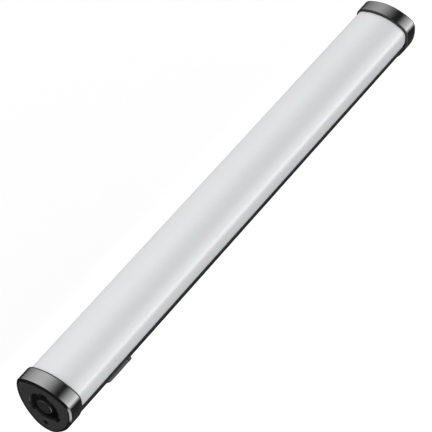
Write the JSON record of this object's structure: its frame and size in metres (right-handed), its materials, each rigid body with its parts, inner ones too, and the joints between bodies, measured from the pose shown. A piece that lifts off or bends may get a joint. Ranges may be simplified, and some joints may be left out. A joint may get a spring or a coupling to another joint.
{
  "type": "led light tube",
  "caption": "Battery-powered LED tube light of rounded-triangle section, with a milky diffuser, a dark metal back, a twist-lock socket at one end and a tripod thread at the other.",
  "frame": {"origin": "middle of the whole tube, in length, width and height; the twist-lock socket's axis lies 2.38 mm above it", "axes": "+X along the tube from the socket end to the threaded end, +Z out of the middle of the diffuser, +Y towards the flank with the control panel"},
  "size_m": [0.5034, 0.0528, 0.054],
  "materials": {
    "black_aluminium": "satin black anodised",
    "milky_lens": "milky, satin",
    "cap_gloss": "glossy black",
    "plate_matt": "fine matt texture",
    "seal_rubber": "matt",
    "dark_metal": "satin black",
    "steel": "satin",
    "black_steel": "black oxide",
    "brass": "satin",
    "circuit_board": "solder mask",
    "light_board_white": "white solder mask on an aluminium core",
    "emitter": "phosphor",
    "cell_wrap": null,
    "dark_plastic": "fine matt texture",
    "cover_plastic": "soft matt",
    "pad_grey": "matt",
    "window": "smoked, clear",
    "button_plastic": "matt",
    "power_plastic": "matt",
    "component_body": "satin",
    "wire": "insulated copper"
  },
  "bodies": {
    "tube": {"back_shell": "black_aluminium", "diffuser": "milky_lens", "near_cap_band": "cap_gloss", "far_cap_band": "cap_gloss", "near_face_plate": "plate_matt", "far_face_plate": "plate_matt", "near_gasket": "seal_rubber", "far_gasket": "seal_rubber", "bayonet_socket": "dark_metal", "centre_boss": "dark_metal", "boss_nut": "steel", "detent_housing": "brass", "contact_pins": "brass", "thread_insert": "brass", "end_screws": "black_steel", "thermal_pad": "pad_grey", "light_board": "light_board_white", "emitters": "emitter", "battery_cells": "cell_wrap", "cell_ribs": "dark_plastic", "cell_strips": "steel", "control_panel": "dark_plastic", "display_window": "window", "display_module": "component_body", "control_board": "circuit_board", "button_switches": "component_body", "port_housing": "dark_plastic", "cover_hinge_pin": "black_steel", "usb_port": "steel", "port_board": "circuit_board", "board_screws": "steel", "driver_board": "circuit_board", "board_posts": "brass", "driver_parts": "component_body", "radio_module": "steel", "battery_lead": "wire"},
    "detent": {"detent_pin": "steel"},
    "power_key": {"power_button": "power_plastic"},
    "mode_key": {"mode_button": "button_plastic"},
    "up_key": {"up_button": "button_plastic"},
    "down_key": {"down_button": "button_plastic"},
    "cover": {"port_cover": "cover_plastic", "port_seal": "seal_rubber"}
  },
  "joints": [
    {"name": "detent_slide", "type": "slide", "parent": "tube", "child": "detent", "axis": [1, 0, 0], "range_m": [0, 0.0024]},
    {"name": "power_press", "type": "slide", "parent": "tube", "child": "power_key", "axis": [0, -0.8746, 0.4848], "range_m": [0, 0.0004]},
    {"name": "mode_press", "type": "slide", "parent": "tube", "child": "mode_key", "axis": [0, -0.8746, 0.4848], "range_m": [0, 0.0004]},
    {"name": "up_press", "type": "slide", "parent": "tube", "child": "up_key", "axis": [0, -0.8746, 0.4848], "range_m": [0, 0.0004]},
    {"name": "down_press", "type": "slide", "parent": "tube", "child": "down_key", "axis": [0, -0.8746, 0.4848], "range_m": [0, 0.0004]},
    {"name": "cover_hinge", "type": "hinge", "parent": "tube", "child": "cover", "pos_m": [-0.17335, -0.02122, -0.00882], "axis": [0, -0.4384, 0.8988], "range_deg": [0, 110]}
  ]
}
